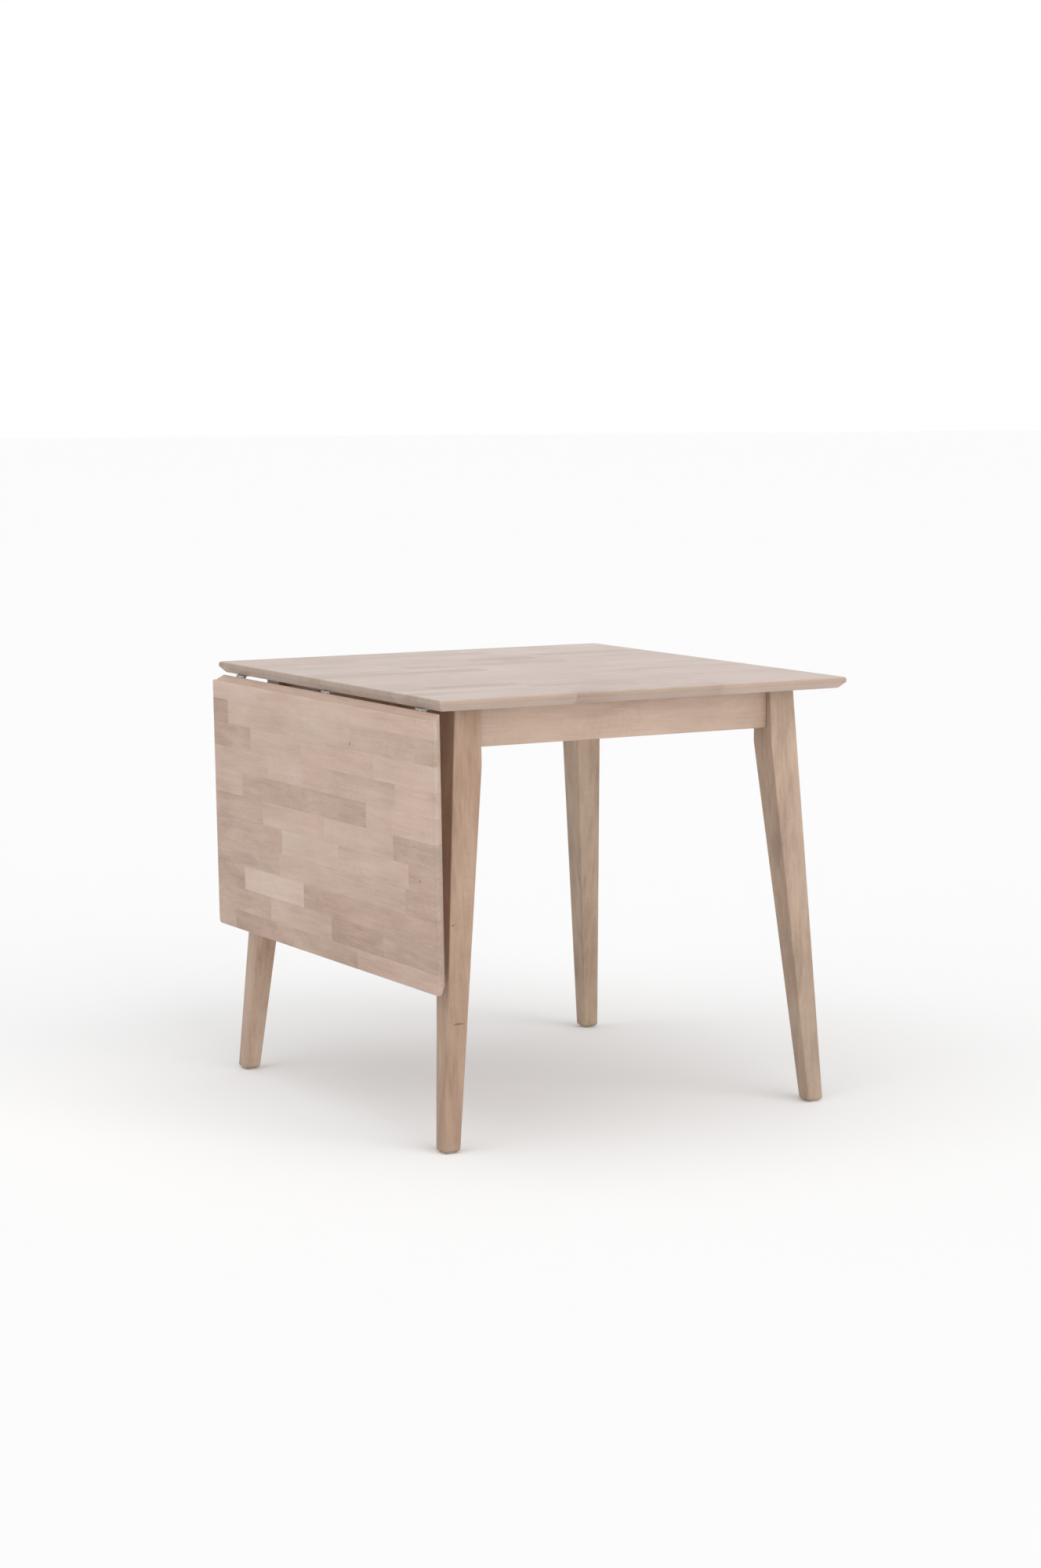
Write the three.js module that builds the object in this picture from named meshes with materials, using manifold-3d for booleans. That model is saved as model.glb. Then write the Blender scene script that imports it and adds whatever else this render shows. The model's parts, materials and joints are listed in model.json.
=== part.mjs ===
// Drop leaf table in whitened oak. Millimetres, +Z up, the leaf hangs on the -X side.
// The origin is on the floor, at the middle of the table as it stands with the leaf down.
import * as THREE from 'three';
import { mergeVertices } from 'three/addons/utils/BufferGeometryUtils.js';
import Module from 'manifold-3d';

const wasm = await Module();
wasm.setup();

// ---- Driving dimensions -------------------------------------------------------------------

const HEIGHT = 740;              // floor to the face of the top
const TOP_SIZE = 800;            // the square fixed top
const BOARD = 19;                // thickness of the top and of the leaf
const NOSE = 8.5;                // upright part of a board's edge, above its under-bevel
const BEVEL_IN = 10;             // how far the under-bevel runs in
const ARRIS = 1.5;               // eased edge round a board's face
const LEAF_REACH = 442;          // what the raised leaf adds to the length of the face
const JOINT_GAP = 1;             // between the faces of the top and of the raised leaf
const LEAF_TILT = 1.2;           // degrees that the hanging leaf leans in under the table
const CLEAR = 0.3;               // working gap between pieces that touch

const FOOT_INSET = 21.8;         // from the top's edge to a leg's outer face, at the floor
const LEG_INSET = 65.5;          // the same, under the top
const FOOT_WIDTH = 29.5;         // square section of a leg at the floor
const LEG_BLOCK_FACE = 286.3;    // from the middle to the upright inner faces of a leg's head
const LEG_BLOCK_BOTTOM = 625;    // height where a leg's inner faces begin to taper
const GLIDE = 2;                 // thickness of the glide under a foot

const APRON_FACE = 324;          // from the middle to the outer face of each apron
const APRON_THICK = 20;
const APRON_BOTTOM = 652;
const TENON = { long: 14, thick: 9, high: 44 };

const HINGE_DROP = 2.8;          // hinge pin below the boards' undersides
const HINGE_IN = 8.9;            // hinge pin in from the top's edge
const HINGE_SPACING = 325;       // from the middle hinge to each outer one
const HINGE_WIDTH = 30;
const FLAP = 34;                 // reach of a hinge plate from its pin
const PLATE = 1.4;

const STAY_FROM_MIDDLE = 170;    // each folding stay, either side of the middle
const STAY_PIVOT = { out: 13, z: 670 };  // stay pivot, out from the apron and above the floor
const STAY_REACH = 125;          // slider pivot from the hinge pin with the leaf up
const STAY_DROP = 20;            // slider pivot below the leaf's underside
const STRUT = { wide: 15, thick: 3 };
const EYE = { slider: 8, bracket: 9 };   // radii of the rounded ends that carry the pivots
const SHOE = { half: 11, neck: 8 };      // half lengths of the slider's shoe and of its neck

const PLAN_CORNER = { top: 2.5, leaf: 6, joint: 1 };   // radii of the boards' corners from above
const LEG_EASE = 1.5;                    // softening of a leg's long edges
const SOLE = { trim: 2.5, high: 4 };     // rounding-over of a leg round its sole
const TOP_SCREW_PLACE = { x: 290, y: 259 };
const NUT = { across: 13, high: 5.5, flange: 8, flangeThick: 1.2 };
const GLIDE_DISC = { radius: 10, edge: 0.6 };
const RIVET = { radius: 4.5, top: 3 };

// ---- Derived places -----------------------------------------------------------------------

const HALF = TOP_SIZE / 2;
const UNDERSIDE = HEIGHT - BOARD;
const NOSE_BOTTOM = HEIGHT - NOSE;
const HINGE_X = -HALF + HINGE_IN;
const HINGE_Z = UNDERSIDE - HINGE_DROP;
const DROP_ANGLE = -THREE.MathUtils.degToRad(90 + LEAF_TILT);

// Highest corner of the leaf's face edge, turned about the pin from raised to hanging.
const faceCorner = new THREE.Vector2(-HALF - JOINT_GAP - HINGE_X, HEIGHT - HINGE_Z);
const standOut = -HALF - (HINGE_X + turned(faceCorner, DROP_ANGLE).x);

// Turns a point of the XZ plane about the Y axis.
function turned(point, angle) {
  const x = point.x * Math.cos(angle) + point.y * Math.sin(angle);
  const z = -point.x * Math.sin(angle) + point.y * Math.cos(angle);
  return new THREE.Vector2(x, z);
}

// ---- Solids -------------------------------------------------------------------------------

// Welds a geometry into a closed mesh of positions only, with its faces pointing out.
function closed(geometry) {
  geometry.deleteAttribute('normal');
  geometry.deleteAttribute('uv');
  const mesh = mergeVertices(geometry, 1e-4);
  const corner = [new THREE.Vector3(), new THREE.Vector3(), new THREE.Vector3()];
  const source = mesh.index.array;
  const kept = [];
  let volume = 0;
  for (let i = 0; i < source.length; i += 3) {
    const face = [source[i], source[i + 1], source[i + 2]];
    if (face[0] === face[1] || face[1] === face[2] || face[2] === face[0]) continue;
    face.forEach((index, k) => corner[k].fromBufferAttribute(mesh.attributes.position, index));
    volume += corner[0].dot(corner[1].clone().cross(corner[2]));
    kept.push(face);
  }
  mesh.setIndex(kept.flatMap((face) => (volume < 0 ? [face[0], face[2], face[1]] : face)));
  return mesh;
}

function toManifold(geometry) {
  const mesh = closed(geometry);
  const vertProperties = new Float32Array(mesh.attributes.position.array);
  const triVerts = new Uint32Array(mesh.index.array);
  return new wasm.Manifold(new wasm.Mesh({ numProp: 3, vertProperties, triVerts }));
}

function fromManifold(solid) {
  const { vertProperties, triVerts } = solid.getMesh();
  const geometry = new THREE.BufferGeometry();
  geometry.setAttribute('position', new THREE.BufferAttribute(vertProperties, 3));
  geometry.setIndex(new THREE.BufferAttribute(triVerts, 1));
  return geometry;
}

function cut(base, tools) {
  const start = toManifold(base);
  return fromManifold(tools.reduce((solid, tool) => solid.subtract(toManifold(tool)), start));
}

function join(pieces) {
  return fromManifold(pieces.map(toManifold).reduce((a, b) => a.add(b)));
}

// Skins a closed body over outlines that have the same number of points, lowest first.
function loft(outlines) {
  const count = outlines[0].length;
  const positions = outlines.flat().flatMap((p) => [p.x, p.y, p.z]);
  const faces = [];
  for (let level = 0; level + 1 < outlines.length; level += 1) {
    for (let i = 0; i < count; i += 1) {
      const a = level * count + i;
      const b = level * count + ((i + 1) % count);
      faces.push(a, b, b + count, a, b + count, a + count);
    }
  }
  const last = (outlines.length - 1) * count;
  for (let i = 1; i + 1 < count; i += 1) {
    faces.push(0, i + 1, i, last, last + i, last + i + 1);
  }
  const geometry = new THREE.BufferGeometry();
  geometry.setAttribute('position', new THREE.Float32BufferAttribute(positions, 3));
  geometry.setIndex(faces);
  return closed(geometry);
}

// A box between two corners.
function block(low, high) {
  const size = high.map((value, i) => value - low[i]);
  const middle = high.map((value, i) => (value + low[i]) / 2);
  return new THREE.BoxGeometry(...size).translate(...middle);
}

// A turned body about an upright axis, from [radius, height] pairs that begin and end on it.
function lathe(profile, sides = 12) {
  const points = profile.map(([radius, height]) => new THREE.Vector2(radius, height));
  return new THREE.LatheGeometry(points, sides).rotateX(Math.PI / 2);
}

// A round bar or drill along +Z.
function rod(radius, low, high, sides = 12) {
  return lathe([[0, low], [radius, low], [radius, high], [0, high]], sides);
}

// A tube along +Z.
function ring(inner, outer, low, high, sides = 16) {
  return lathe([[inner, low], [outer, low], [outer, high], [inner, high], [inner, low]], sides);
}

// Turns a body made along +Z so that it runs along +Y.
const alongY = (geometry) => geometry.rotateX(-Math.PI / 2);

// ---- Materials ----------------------------------------------------------------------------

const finishes = {
  top: { color: 0xd6cac3, roughness: 0.6, metalness: 0 },
  leaf: { color: 0xcbb4a5, roughness: 0.6, metalness: 0 },
  frame: { color: 0xc2a58c, roughness: 0.6, metalness: 0 },
  block: { color: 0xcdb79b, roughness: 0.8, metalness: 0 },
  zinc: { color: 0xb4b4b0, roughness: 0.35, metalness: 0.9 },
  steel: { color: 0x8d8f92, roughness: 0.4, metalness: 0.9 },
  glide: { color: 0xcfc0ae, roughness: 0.6, metalness: 0 },
};

function piece(name, finish, geometry) {
  const mesh = new THREE.Mesh(closed(geometry), new THREE.MeshStandardMaterial(finishes[finish]));
  mesh.name = name;
  return mesh;
}

// ---- Boards -------------------------------------------------------------------------------

// Outline of a board at one height; the corners on the -X and +X sides have their own radii.
function boardOutline(z, x0, x1, halfWidth, leftRadius, rightRadius) {
  const corners = [
    { x: x1, y: halfWidth, r: rightRadius, start: 0 },
    { x: x0, y: halfWidth, r: leftRadius, start: 1 },
    { x: x0, y: -halfWidth, r: leftRadius, start: 2 },
    { x: x1, y: -halfWidth, r: rightRadius, start: 3 },
  ];
  const steps = 4;
  return corners.flatMap(({ x, y, r, start }) =>
    Array.from({ length: steps + 1 }, (_, k) => {
      const angle = ((start + k / steps) * Math.PI) / 2;
      const cx = x - Math.sign(x - (x0 + x1) / 2) * r;
      const cy = y - Math.sign(y) * r;
      return new THREE.Vector3(cx + r * Math.cos(angle), cy + r * Math.sin(angle), z);
    }),
  );
}

// Screw holes go up into a board from its underside.
const pilot = ([x, y], radius, depth) =>
  rod(radius + CLEAR, UNDERSIDE - 1, UNDERSIDE + depth).translate(x, y, 0);

const SCREW = { radius: 1.5, head: 3, depth: 11 };
const screwPlaces = [[12, -8], [26, 8]];          // on a hinge plate, out from the pin and across
const hingeRows = [-HINGE_SPACING, 0, HINGE_SPACING];
const hingeNames = ['front', 'middle', 'back'];

// Places of the hinge screws on one side of the joint: side is +1 in the top, -1 in the leaf.
const hingeScrews = (side, y) =>
  screwPlaces.map(([out, across]) => [HINGE_X + side * out, y + across]);

const TOP_SCREW = { radius: 2.3, head: 4.6, depth: 13 };
const topScrewPlace = (sx, sy) => [sx * TOP_SCREW_PLACE.x, sy * TOP_SCREW_PLACE.y];

function mainTop() {
  const radius = PLAN_CORNER.top;
  const outline = (z, inset) =>
    boardOutline(z, -HALF + inset, HALF - inset, HALF - inset, radius, radius);
  const board = loft([
    outline(UNDERSIDE, BEVEL_IN),
    outline(NOSE_BOTTOM, 0),
    outline(HEIGHT - ARRIS, 0),
    outline(HEIGHT, ARRIS),
  ]);
  const hinges = hingeRows.flatMap((y) => hingeScrews(1, y));
  const drills = hinges.map((place) => pilot(place, SCREW.radius, SCREW.depth + 1));
  for (const [sx, sy] of corners) {
    drills.push(pilot(topScrewPlace(sx, sy), TOP_SCREW.radius, TOP_SCREW.depth + 1));
  }
  return cut(board, drills);
}

// The leaf as it lies when raised. Its joint edge is cut back over the top's under-bevel.
function dropLeaf() {
  const edge = -HALF - JOINT_GAP;
  const tongueTip = 0.8;
  const tipInset = BEVEL_IN * (1 - tongueTip / (BOARD - NOSE));
  const outline = (z, inset, tongue) =>
    boardOutline(z, edge - LEAF_REACH + inset, edge + tongue, HALF - inset,
      PLAN_CORNER.leaf, PLAN_CORNER.joint);
  const board = loft([
    outline(UNDERSIDE, BEVEL_IN, BEVEL_IN - 2 * tongueTip),
    outline(UNDERSIDE + tongueTip, tipInset, BEVEL_IN - tongueTip),
    outline(NOSE_BOTTOM, 0, 0),
    outline(HEIGHT - ARRIS, 0, 0),
    outline(HEIGHT, ARRIS, -ARRIS),
  ]);
  const hinges = hingeRows.flatMap((y) => hingeScrews(-1, y));
  return cut(board, hinges.map((place) => pilot(place, SCREW.radius, SCREW.depth + 1)));
}

// ---- Frame --------------------------------------------------------------------------------

const corners = [[-1, -1], [-1, 1], [1, -1], [1, 1]];
const cornerName = (sx, sy) => `${sy < 0 ? 'front' : 'back'}_${sx < 0 ? 'left' : 'right'}`;
const LEG_TOP = UNDERSIDE - CLEAR;
const APRON_TOP = UNDERSIDE - CLEAR;

const outerFace = (z) => HALF - FOOT_INSET - ((LEG_INSET - FOOT_INSET) * z) / UNDERSIDE;
const footInner = HALF - FOOT_INSET - FOOT_WIDTH;
const innerFace = (z) =>
  z > LEG_BLOCK_BOTTOM
    ? LEG_BLOCK_FACE
    : footInner + ((LEG_BLOCK_FACE - footInner) * z) / LEG_BLOCK_BOTTOM;

const tenonMiddle = (APRON_FACE - APRON_THICK / 2);
const tenonZ = (APRON_BOTTOM + APRON_TOP) / 2;
const BOLT = { radius: 3.6, z: tenonZ, start: 256, end: 312 };

// Section of the leg that stands at +X +Y, square and with lightly eased long edges.
function legSection(z, trim) {
  const low = innerFace(z) + trim;
  const high = outerFace(z) - trim;
  const ease = LEG_EASE;
  const walk = [
    [high, low + ease], [high, high - ease], [high - ease, high], [low + ease, high],
    [low, high - ease], [low, low + ease], [low + ease, low], [high - ease, low],
  ];
  return walk.map(([x, y]) => new THREE.Vector3(x, y, z));
}

function leg(sx, sy) {
  const sole = GLIDE + CLEAR;
  const body = loft([
    legSection(sole, SOLE.trim),
    legSection(sole + SOLE.high, 0),
    legSection(LEG_BLOCK_BOTTOM, 0),
    legSection(LEG_TOP, 0),
  ]);
  const reach = TENON.long + 1;
  const halfThick = TENON.thick / 2 + CLEAR;
  const halfHigh = TENON.high / 2 + CLEAR;
  const mortise = block(
    [LEG_BLOCK_FACE - 1, tenonMiddle - halfThick, tenonZ - halfHigh],
    [LEG_BLOCK_FACE + reach, tenonMiddle + halfThick, tenonZ + halfHigh],
  );
  const crossMortise = mortise.clone().rotateZ(-Math.PI / 2).scale(1, -1, 1);
  const shank = rod(BOLT.radius + CLEAR, BOLT.start, BOLT.end + 1);
  const spigotHole = rod(GLIDE_PIN.radius + CLEAR, 0, GLIDE_PIN.top + 1)
    .translate(footMiddle, footMiddle, 0);
  const standing = cut(body, [mortise, crossMortise, diagonal(shank), spigotHole]);
  return standing.scale(sx, sy, 1);
}

// Lays a body made along +Z on the level diagonal from the middle of the table to a leg.
function diagonal(geometry) {
  const stretch = Math.SQRT2;
  return geometry.scale(1, 1, stretch).rotateY(Math.PI / 2).rotateZ(Math.PI / 4)
    .translate(0, 0, BOLT.z);
}

const GLIDE_PIN = { radius: 2.2, top: 10 };
const footMiddle = footInner + FOOT_WIDTH / 2;

function glide(sx, sy) {
  const { radius, edge } = GLIDE_DISC;
  const disc = [[0, 0], [radius - 1, 0], [radius, edge], [radius, GLIDE], [GLIDE_PIN.radius, GLIDE]];
  const pin = [[GLIDE_PIN.radius, GLIDE_PIN.top - 2], [0, GLIDE_PIN.top]];
  return lathe([...disc, ...pin], 16).translate(sx * footMiddle, sy * footMiddle, 0);
}

// An apron along X, on the +Y side, with a stub tenon at each end.
function apron() {
  const end = LEG_BLOCK_FACE - CLEAR;
  const tip = end + TENON.long;
  const board = block([-end, APRON_FACE - APRON_THICK, APRON_BOTTOM], [end, APRON_FACE, APRON_TOP]);
  const tongue = block(
    [-tip, tenonMiddle - TENON.thick / 2, tenonZ - TENON.high / 2],
    [tip, tenonMiddle + TENON.thick / 2, tenonZ + TENON.high / 2],
  );
  return join([board, tongue]);
}

// A diagonal block glued into the corner of two aprons, bored for the leg bolt and a top screw.
const BLOCK = { outer: 283, thick: 17, low: 668, high: 714 };
function cornerBlock(sx, sy) {
  const wall = APRON_FACE - APRON_THICK - CLEAR;
  const near = 2 * BLOCK.outer - wall;
  const far = near - 2 * BLOCK.thick;
  const outline = [[wall, near], [near, wall], [far, wall], [wall, far]];
  const level = (z) => outline.map(([x, y]) => new THREE.Vector3(x, y, z));
  const bore = diagonal(rod(BOLT.radius + 2 * CLEAR, BOLT.start - 10, BOLT.end));
  const [x, y] = topScrewPlace(1, 1);
  const hole = rod(TOP_SCREW.radius + CLEAR, BLOCK.low - 1, BLOCK.high + 1).translate(x, y, 0);
  const countersink = screwHead(TOP_SCREW, BLOCK.low + 2 * CLEAR, CLEAR).translate(x, y, 0);
  const solid = loft([level(BLOCK.low), level(BLOCK.high)]);
  return cut(solid, [bore, hole, countersink]).scale(sx, sy, 1);
}

// The cone of a countersunk head whose face is level with z, grown by a clearance.
function screwHead({ radius, head }, z, grow) {
  const depth = head - radius;
  const wide = head + grow;
  return lathe([[0, z - 1], [wide, z - 1], [wide, z], [radius + grow, z + depth], [0, z + depth]]);
}

// A countersunk wood screw driven up into a board, with its head level with z.
function woodScrew({ radius, head, depth }, z) {
  const neck = z + head - radius;
  const tip = UNDERSIDE + depth;
  return lathe([[0, z], [head, z], [radius, neck], [radius, tip - 2 * radius], [0, tip]], 10);
}

const topScrew = (sx, sy) => {
  const [x, y] = topScrewPlace(sx, sy);
  return woodScrew(TOP_SCREW, BLOCK.low + CLEAR).translate(x, y, 0);
};

const hangerBolt = (sx, sy) =>
  diagonal(rod(BOLT.radius, BOLT.start, BOLT.end)).scale(sx, sy, 1);

// A flanged hexagon nut on the inner face of the corner block.
function boltNut(sx, sy) {
  const seat = BLOCK.outer - BLOCK.thick - CLEAR;
  const flange = rod(NUT.flange, seat - NUT.flangeThick, seat, 20);
  const corner = NUT.across / 2 / Math.cos(Math.PI / 6);
  const hexagon = rod(corner, seat - NUT.high, seat - NUT.flangeThick / 2, 6);
  const thread = rod(BOLT.radius + CLEAR, seat - 10, seat + 10);
  const nut = cut(join([flange, hexagon]), [thread]);
  return diagonal(nut).scale(sx, sy, 1);
}

// ---- Hinges -------------------------------------------------------------------------------

const BARREL = { outer: 2.5, inner: 1.3, pin: 1.0, middle: 5 };

// One hinge half about the pin at the origin: a plate towards side, and its share of the barrel.
function hingePlate(side, y, sleeves) {
  const half = HINGE_WIDTH / 2;
  const plate = block([0, -half, BARREL.outer - PLATE], [FLAP, half, BARREL.outer]);
  const spans = sleeves.map(([low, high]) => alongY(ring(BARREL.inner, BARREL.outer, low, high)));
  const others = sleeves.length > 1 ? [[-BARREL.middle, BARREL.middle]]
    : [[-half - 1, -BARREL.middle], [BARREL.middle, half + 1]];
  const room = BARREL.outer + CLEAR;
  const notches = others.map(([low, high]) =>
    block([-room, low - CLEAR / 2, -room], [room, high + CLEAR / 2, room]));
  const bore = alongY(rod(BARREL.inner, -half - 1, half + 1, 16));
  const sinks = screwPlaces.flatMap(([out, across]) => {
    const grip = { radius: SCREW.radius + 0.1, head: SCREW.head };
    const through = rod(SCREW.radius + CLEAR + 0.1, 0, 5).translate(out, side * across, 0);
    return [through, screwHead(grip, BARREL.outer - PLATE, CLEAR).translate(out, side * across, 0)];
  });
  const whole = cut(join([plate, ...spans]), [...notches, bore, ...sinks]);
  const turn = side > 0 ? 0 : Math.PI;
  return whole.rotateZ(turn).translate(HINGE_X, y, HINGE_Z);
}

function fixedFlap(y) {
  const half = HINGE_WIDTH / 2;
  const gap = CLEAR / 2;
  return hingePlate(1, y, [[-half, -BARREL.middle - gap], [BARREL.middle + gap, half]]);
}

const leafFlap = (y) =>
  hingePlate(-1, y, [[-BARREL.middle + CLEAR / 2, BARREL.middle - CLEAR / 2]]);

const hingePin = (y) =>
  alongY(rod(BARREL.pin, -HINGE_WIDTH / 2, HINGE_WIDTH / 2)).translate(HINGE_X, y, HINGE_Z);

const plateScrew = ([x, y]) =>
  woodScrew(SCREW, UNDERSIDE - CLEAR - PLATE).translate(x, y, 0);

// ---- Folding stays ------------------------------------------------------------------------

const pivot = new THREE.Vector2(-APRON_FACE - STAY_PIVOT.out, STAY_PIVOT.z);
const raisedEnd = new THREE.Vector2(HINGE_X - STAY_REACH, UNDERSIDE - STAY_DROP);
const strutLength = raisedEnd.distanceTo(pivot);

// With the leaf down, the slider has run out along its track to where the strut reaches it.
const offset = turned(new THREE.Vector2(0, raisedEnd.y - HINGE_Z), DROP_ANGLE);
const along = turned(new THREE.Vector2(-1, 0), DROP_ANGLE);
const toTrack = new THREE.Vector2(HINGE_X, HINGE_Z).add(offset).sub(pivot);
const middleRun = -toTrack.dot(along);
const restReach = middleRun
  + Math.sqrt(middleRun ** 2 - toTrack.lengthSq() + strutLength ** 2);
const restEnd = toTrack.clone().addScaledVector(along, restReach);
const strutRest = Math.atan2(-restEnd.x, -restEnd.y);

const TRACK = { wide: 18, high: 9, wall: 1.6, slot: 7, margin: 20 };
const LUG = 3;
const lugMiddle = STRUT.thick / 2 + CLEAR + LUG / 2;

// A lipped channel under the leaf, open below, in which the slider runs.
function track(y) {
  const { wide, high, wall, slot } = TRACK;
  const side = [
    [wide / 2, 0], [wide / 2, -high], [slot / 2, -high],
    [slot / 2, -high + wall], [wide / 2 - wall, -high + wall], [wide / 2 - wall, -wall],
  ];
  const mirrored = side.map(([across, z]) => [-across, z]).reverse();
  const outline = new THREE.Shape([...side, ...mirrored].map(([u, v]) => new THREE.Vector2(u, v)));
  const length = restReach - STAY_REACH + 2 * TRACK.margin;
  return new THREE.ExtrudeGeometry(outline, { depth: length, bevelEnabled: false })
    .rotateX(Math.PI / 2).rotateZ(Math.PI / 2)
    .translate(HINGE_X - restReach - TRACK.margin, y, UNDERSIDE - CLEAR);
}

// The slider where it stands on the raised leaf with its pivot at reach from the hinge pin.
function slider(y, reach) {
  const x = HINGE_X - reach;
  const roof = UNDERSIDE - CLEAR - TRACK.wall - CLEAR;
  const floor = UNDERSIDE - CLEAR - TRACK.high + TRACK.wall + CLEAR;
  const shoeWide = TRACK.wide / 2 - TRACK.wall - CLEAR;
  const pivotZ = UNDERSIDE - STAY_DROP;
  const shoe = block([x - SHOE.half, y - shoeWide, floor], [x + SHOE.half, y + shoeWide, roof]);
  const neck = block([x - SHOE.neck, y - LUG / 2, pivotZ], [x + SHOE.neck, y + LUG / 2, floor + 1]);
  const eye = alongY(rod(EYE.slider, -LUG / 2, LUG / 2, 20)).translate(x, y, pivotZ);
  const hole = alongY(rod(2.4, -LUG, LUG)).translate(x, y, pivotZ);
  return cut(join([shoe, neck, eye]), [hole]);
}

// A flat strut hanging down from its pivot at the origin, with a rivet at its lower end.
function strut(mirror) {
  const { wide, thick } = STRUT;
  const radius = wide / 2;
  const outline = new THREE.Shape()
    .absarc(0, 0, radius, 0, Math.PI, false)
    .absarc(0, -strutLength, radius, Math.PI, 2 * Math.PI, false);
  outline.holes.push(new THREE.Path().absarc(0, 0, PIVOT_PIN.radius + CLEAR, 0, 2 * Math.PI, true));
  const settings = { depth: thick, bevelEnabled: false, curveSegments: 10 };
  const bar = new THREE.ExtrudeGeometry(outline, settings)
    .translate(0, 0, -thick / 2).rotateX(Math.PI / 2);
  const rivet = lathe([[0, 0], [RIVET.radius, 0], [RIVET.radius, thick / 2 + 0.6],
    [RIVET.top, thick / 2 + 1.8], [0, thick / 2 + 2]]);
  const set = alongY(rivet).translate(0, 0, -strutLength);
  return join([bar, set]).scale(1, mirror, 1);
}

// A bracket screwed to the apron, whose ear carries the strut on a headed pin.
const PIVOT_PIN = { radius: 3, head: 5 };
const BRACKET = { wide: 44, low: 656, high: 702, thick: 2.5 };
function bracket(sign) {
  const { wide, low, high, thick } = BRACKET;
  const face = -APRON_FACE - CLEAR;
  const earFar = -STRUT.thick / 2 - CLEAR;
  const earNear = earFar - thick;
  const base = block([face - thick, earNear - wide, low], [face, earFar, high]);
  const ear = EYE.bracket;
  const neck = block([pivot.x, earNear, pivot.y - ear], [face, earFar, pivot.y + ear]);
  const eye = alongY(rod(ear, earNear, earFar, 20)).translate(pivot.x, 0, pivot.y);
  const headStart = STRUT.thick / 2 + CLEAR;
  const pin = alongY(lathe([[0, earNear], [PIVOT_PIN.radius, earNear],
    [PIVOT_PIN.radius, headStart], [PIVOT_PIN.head, headStart],
    [PIVOT_PIN.head, headStart + 1], [0, headStart + 1.6]]));
  const stand = join([base, neck, eye, pin.translate(pivot.x, 0, pivot.y)]);
  return stand.scale(1, sign, 1).translate(0, sign * STAY_FROM_MIDDLE, 0);
}

// ---- Assembly -----------------------------------------------------------------------------

const table = new THREE.Group();
table.position.x = standOut / 2;

table.add(piece('main_top', 'top', mainTop()));
for (const [sx, sy] of corners) {
  const name = cornerName(sx, sy);
  table.add(piece(`leg_${name}`, 'frame', leg(sx, sy)));
  table.add(piece(`glide_${name}`, 'glide', glide(sx, sy)));
  table.add(piece(`corner_block_${name}`, 'block', cornerBlock(sx, sy)));
  table.add(piece(`leg_bolt_${name}`, 'steel', hangerBolt(sx, sy)));
  table.add(piece(`bolt_nut_${name}`, 'steel', boltNut(sx, sy)));
  table.add(piece(`top_screw_${name}`, 'steel', topScrew(sx, sy)));
}
table.add(piece('apron_back', 'frame', apron()));
table.add(piece('apron_front', 'frame', apron().scale(1, -1, 1)));
table.add(piece('apron_right', 'frame', apron().rotateZ(-Math.PI / 2)));
table.add(piece('apron_left', 'frame', apron().rotateZ(Math.PI / 2)));

// Everything on the leaf is placed as it lies when raised, then turned down about the pin.
const raised = new THREE.Group();
raised.position.set(-HINGE_X, 0, -HINGE_Z);
const leafTurn = new THREE.Group();
leafTurn.position.set(HINGE_X, 0, HINGE_Z);
leafTurn.rotation.y = DROP_ANGLE;
leafTurn.add(raised);
table.add(leafTurn);

raised.add(piece('drop_leaf', 'leaf', dropLeaf()));
hingeRows.forEach((y, i) => {
  const name = hingeNames[i];
  table.add(piece(`hinge_fixed_${name}`, 'zinc', fixedFlap(y)));
  table.add(piece(`hinge_pin_${name}`, 'zinc', hingePin(y)));
  raised.add(piece(`hinge_leaf_${name}`, 'zinc', leafFlap(y)));
  hingeScrews(1, y).forEach((place, k) => {
    table.add(piece(`hinge_screw_top_${name}_${k + 1}`, 'zinc', plateScrew(place)));
  });
  hingeScrews(-1, y).forEach((place, k) => {
    raised.add(piece(`hinge_screw_leaf_${name}_${k + 1}`, 'zinc', plateScrew(place)));
  });
});

for (const sign of [-1, 1]) {
  const name = sign < 0 ? 'front' : 'back';
  const trackY = sign * (STAY_FROM_MIDDLE - lugMiddle);
  table.add(piece(`stay_bracket_${name}`, 'zinc', bracket(sign)));
  raised.add(piece(`stay_track_${name}`, 'zinc', track(trackY)));
  raised.add(piece(`stay_slider_${name}`, 'zinc', slider(trackY, restReach)));
  const hanging = piece(`stay_strut_${name}`, 'zinc', strut(sign));
  hanging.position.set(pivot.x, sign * STAY_FROM_MIDDLE, pivot.y);
  hanging.rotation.y = strutRest;
  table.add(hanging);
}

export default table;
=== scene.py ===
"""A drop leaf table in whitened oak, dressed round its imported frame. Metres, +Z up, leaf on the -X side."""
import json
import bpy
import numpy as np
from mathutils import Matrix, Vector


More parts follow.
